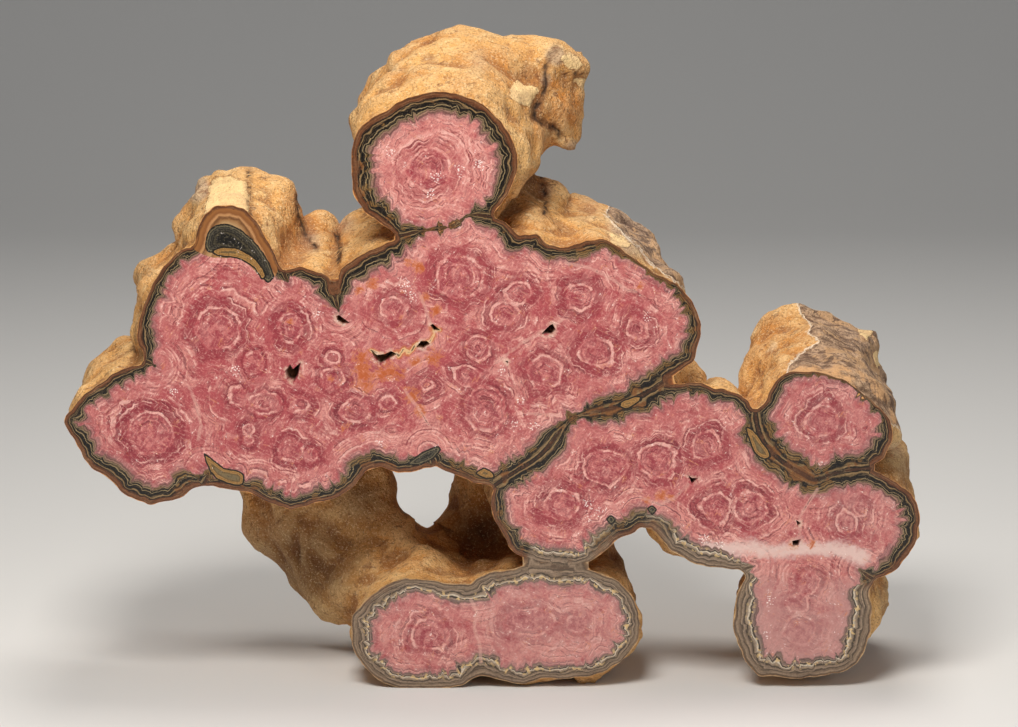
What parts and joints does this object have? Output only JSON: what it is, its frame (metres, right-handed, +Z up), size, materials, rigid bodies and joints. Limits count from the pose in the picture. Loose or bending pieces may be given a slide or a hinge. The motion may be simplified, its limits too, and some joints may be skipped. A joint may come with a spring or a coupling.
{
  "type": "rhodochrosite stalactite cluster",
  "caption": "Cluster of fused rhodochrosite stalactites, sawn flat across so that the pink ringed growths show, with a tan crusted skin behind and a flat underside to stand on.",
  "frame": {"origin": "under the middle of the cluster, on the surface it stands on", "axes": "+Z up, the polished sawn face upright and looking along -Y, +X along the cluster's width"},
  "size_m": [0.2912, 0.089, 0.2198],
  "materials": {
    "stone": "polished pink and dark banded face, dull tan crust elsewhere"
  },
  "bodies": {
    "root": {"stalactite_cluster": "stone"}
  },
  "joints": []
}
